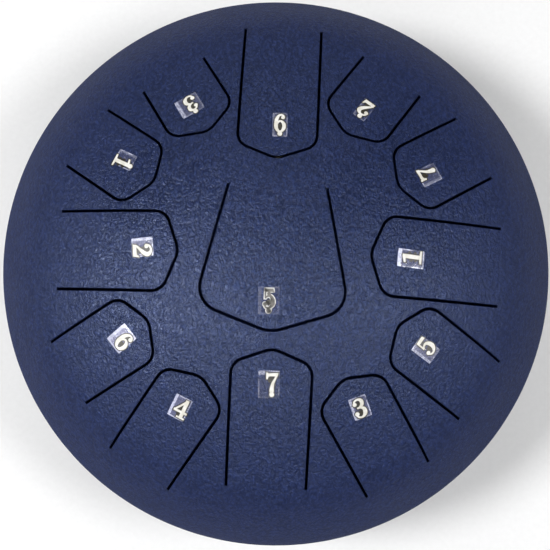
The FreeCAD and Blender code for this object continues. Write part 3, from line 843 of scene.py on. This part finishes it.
def foil(name, low, high):
    """Printed foil, a little uneven in colour and gloss."""
    m = Nodes(name, Metallic=0.0, Specular_IOR_Level=0.5)
    patch = m.noise(330.0, 2.0, 0.5)
    speck = m.noise(2600.0, 2.0, 0.5)
    return m.shade(
        Base_Color=m.mix(m.ramp(patch, 0.38, 0.62), low, high),
        Roughness=m.ramp(speck, 0.3, 0.7, 0.25, 0.45),
        Normal=m.bump(speck, 0.00002, 0.5),
    )


def clear_film(note):
    """Clear film: see-through where it lies flat, and milky in patches, partly from trapped air and
    partly as painted glare. Its bright edges and folds and the milky band on one side are painted
    glare."""
    m = Nodes("clear_film_" + note, IOR=1.48, Specular_IOR_Level=0.8)
    sticker, film = STICKERS[note], FILMS[note]
    centre = [c * MM for c in to_plan(note, sticker.inward, sticker.left)]
    half_size = (sticker.width / 2 * MM, sticker.height / 2 * MM)
    u, v = m.local(centre, math.radians(sticker.up - 90), half_size)
    haze_patches = m.noise(190.0, 3.0, 0.6, distortion=0.8)
    crinkle = m.noise(620.0, 3.0, 0.6, distortion=1.5)
    # the side with a band of painted glare, milky and bright
    toward = math.radians(film.toward)
    across = m.math("ADD", m.math("MULTIPLY", u, math.cos(toward)),
                    m.math("MULTIPLY", v, math.sin(toward)))
    glare_band = m.ramp(across, 0.62, 0.74)
    side_haze = m.ramp(crinkle, 0.35, 0.6, film.side_haze * 0.4, film.side_haze)
    # the edges, painted bright as glare
    rim_distance = m.math("MAXIMUM", m.math("ABSOLUTE", u), m.math("ABSOLUTE", v))
    rim = m.ramp(rim_distance, 0.82, 0.92)
    rim_haze = m.ramp(haze_patches, 0.40, 0.62, 0.0, film.rim_haze)
    # the folds, painted bright as lines of glare
    fold = m.noise(120.0, 2.0, 0.5, distortion=2.0)
    fold = m.math("ABSOLUTE", m.math("SUBTRACT", fold, 0.5))
    cover = m.math("MAXIMUM", m.ramp(haze_patches, 0.35, 0.65, film.haze * 0.6, film.haze),
                   m.ramp(fold, 0.0, 0.025, film.rim_haze * 0.5, 0.0))
    cover = m.math("MAXIMUM", cover, m.math("MULTIPLY", glare_band, side_haze))
    cover = m.math("MAXIMUM", cover, m.math("MULTIPLY", rim, rim_haze))
    # the film's colour: milky where it covers, partly painted glare, and painted bright as glare at
    # its edges and on its glare band
    milk_and_glare = m.mix(m.ramp(crinkle, 0.35, 0.65), (0.24, 0.25, 0.42), (0.37, 0.37, 0.54))
    return m.shade(
        Base_Color=m.mix(m.math("MAXIMUM", rim, glare_band), milk_and_glare, (0.60, 0.62, 0.80)),
        Roughness=m.ramp(crinkle, 0.3, 0.7, 0.1, 0.3),
        Alpha=cover,
        Normal=m.bump(crinkle, 0.00012, 0.6),
    )


def floor_paper():
    m = Nodes("floor_paper", Roughness=0.9)
    tooth = m.noise(300.0, 4.0, 0.6)
    return m.shade(
        Base_Color=m.mix(m.ramp(tooth, 0.3, 0.7), (0.78, 0.78, 0.78), (0.81, 0.81, 0.81)),
        Normal=m.bump(tooth, 0.0001, 0.2),
    )


def dress(obj, material):
    obj.data.materials.clear()
    obj.data.materials.append(material)


# ------------------------------------------------------------------ the object's pieces

COAT = powder_coat("navy_powder_coat")
RUBBER = rubber()
ZINC = plated("bright_zinc", (0.46, 0.47, 0.49), (0.68, 0.68, 0.68), 0.24, 0.42)
YELLOW_ZINC = plated("yellow_zinc", (0.44, 0.36, 0.18), (0.66, 0.58, 0.36), 0.26, 0.45)
CREAM = foil("cream_foil", (0.55, 0.53, 0.47), (0.67, 0.66, 0.63))
OLIVE = foil("olive_print", (0.012, 0.010, 0.005), (0.026, 0.022, 0.011))
# a darker foil for one note's number, and a foil for the print round it whose bright patches are
# painted glints
DARK_FIGURE = foil("darker_foil", (0.016, 0.015, 0.012), (0.15, 0.145, 0.135))
GLINT_EDGE = foil("painted_glint_foil", (0.14, 0.14, 0.14), (0.62, 0.61, 0.60))


def place(obj, material, body, slot, *nodes):
    dress(obj, material)
    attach(obj, body)
    if nodes:
        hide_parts(*nodes)


place(shell_sheet().build("upper_shell_sheet"), COAT, "drum", "upper_steel", "upper_shell")
for note in TONGUES:
    body = "note_" + note
    tongue = tongue_sheet(note).build("tongue_sheet_" + note)
    place(tongue, COAT, body, "tongue_steel", "tongue_" + note)
    film = film_sheet(note).build("film_" + note, sharp=80.0)
    place(film, clear_film(note), body, "clear_film", "sticker_" + note)
    # one note's number is darker, and the print round it has painted glints
    darkened = note == DARK_FIGURE_NOTE
    outline, figure = (GLINT_EDGE, DARK_FIGURE) if darkened else (OLIVE, CREAM)
    edge = numeral_sheet(note, EDGE_PRINT, not darkened, EDGE_LAYER)
    place(edge.build("numeral_edge_" + note, sharp=30.0), outline, body, "clear_film")
    inner = numeral_sheet(note, 0.0, darkened, FIGURE_LAYER)
    place(inner.build("numeral_" + note, sharp=30.0), figure, body, "clear_film")

CAD_LOOKS = {"lower_shell": COAT, "seam_weld": COAT, "foot_screws": ZINC, "foot_washers": ZINC,
             "rivet_nuts": YELLOW_ZINC}
for node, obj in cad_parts.items():
    if node in CAD_LOOKS:
        dress(obj, CAD_LOOKS[node])
    elif node.startswith("foot_"):
        dress(obj, RUBBER)

# ------------------------------------------------------------------ floor, light and camera

FLOOR_REACH = 4.0
floor_mesh = bpy.data.meshes.new("floor")
corners = [(x * FLOOR_REACH, y * FLOOR_REACH, 0.0) for x, y in ((-1, -1), (1, -1), (1, 1), (-1, 1))]
floor_mesh.from_pydata(corners, [], [(0, 1, 2, 3)])
floor = bpy.data.objects.new("floor", floor_mesh)
bpy.context.scene.collection.objects.link(floor)
dress(floor, floor_paper())

LIGHT_TARGET = Vector((0.0, 0.0, 0.1))
# light: (place, diameter, watts)
LIGHTS = {
    "softbox_left": ((-0.72, -0.08, 1.27), 0.36, 14.5),
    "softbox_right": ((0.77, -0.12, 1.29), 0.42, 9.0),
    "softbox_front": ((-0.04, -0.74, 1.24), 0.7, 4.4),
    "softbox_back": ((-0.12, 0.98, 1.04), 0.8, 2.8),
}
for name, (location, size, power) in LIGHTS.items():
    light = bpy.data.lights.new(name, "AREA")
    light.shape = "DISK"
    light.size = size
    light.energy = power
    lamp = bpy.data.objects.new(name, light)
    lamp.location = location
    lamp.rotation_mode = "QUATERNION"
    lamp.rotation_quaternion = (LIGHT_TARGET - Vector(location)).to_track_quat("-Z", "Y")
    bpy.context.scene.collection.objects.link(lamp)

world = bpy.data.worlds.new("studio")
world.use_nodes = True
sky = world.node_tree.nodes["Background"].inputs
sky["Color"].default_value = (1.0, 1.0, 1.0, 1.0)
sky["Strength"].default_value = 0.15
bpy.context.scene.world = world
bpy.context.scene.view_settings.view_transform = "Standard"

EQUATOR = Vector((0.0, 0.0, KNUCKLE_Z * MM))
BACK = Vector((0.009, -0.113, 0.9935)).normalized()  # from the drum to the camera
DISTANCE = 0.550
AIM_SHIFT = Vector((0.0002, 0.0034, 0.0))  # how far to the left and in front of the axis it looks
ROLL = math.radians(1.0)
camera_data = bpy.data.cameras.new("camera")
camera_data.sensor_width = 36.0
camera_data.lens = 63.4
camera_data.clip_start = 0.01
camera = bpy.data.objects.new("camera", camera_data)
bpy.context.scene.collection.objects.link(camera)
camera.location = EQUATOR + BACK * DISTANCE
back = (camera.location - (EQUATOR - AIM_SHIFT)).normalized()
right = Vector((-math.sin(ROLL), math.cos(ROLL), 0.0)).cross(back).normalized()
camera.rotation_mode = "QUATERNION"
camera.rotation_quaternion = Matrix((right, back.cross(right), back)).transposed().to_quaternion()
bpy.context.scene.camera = camera
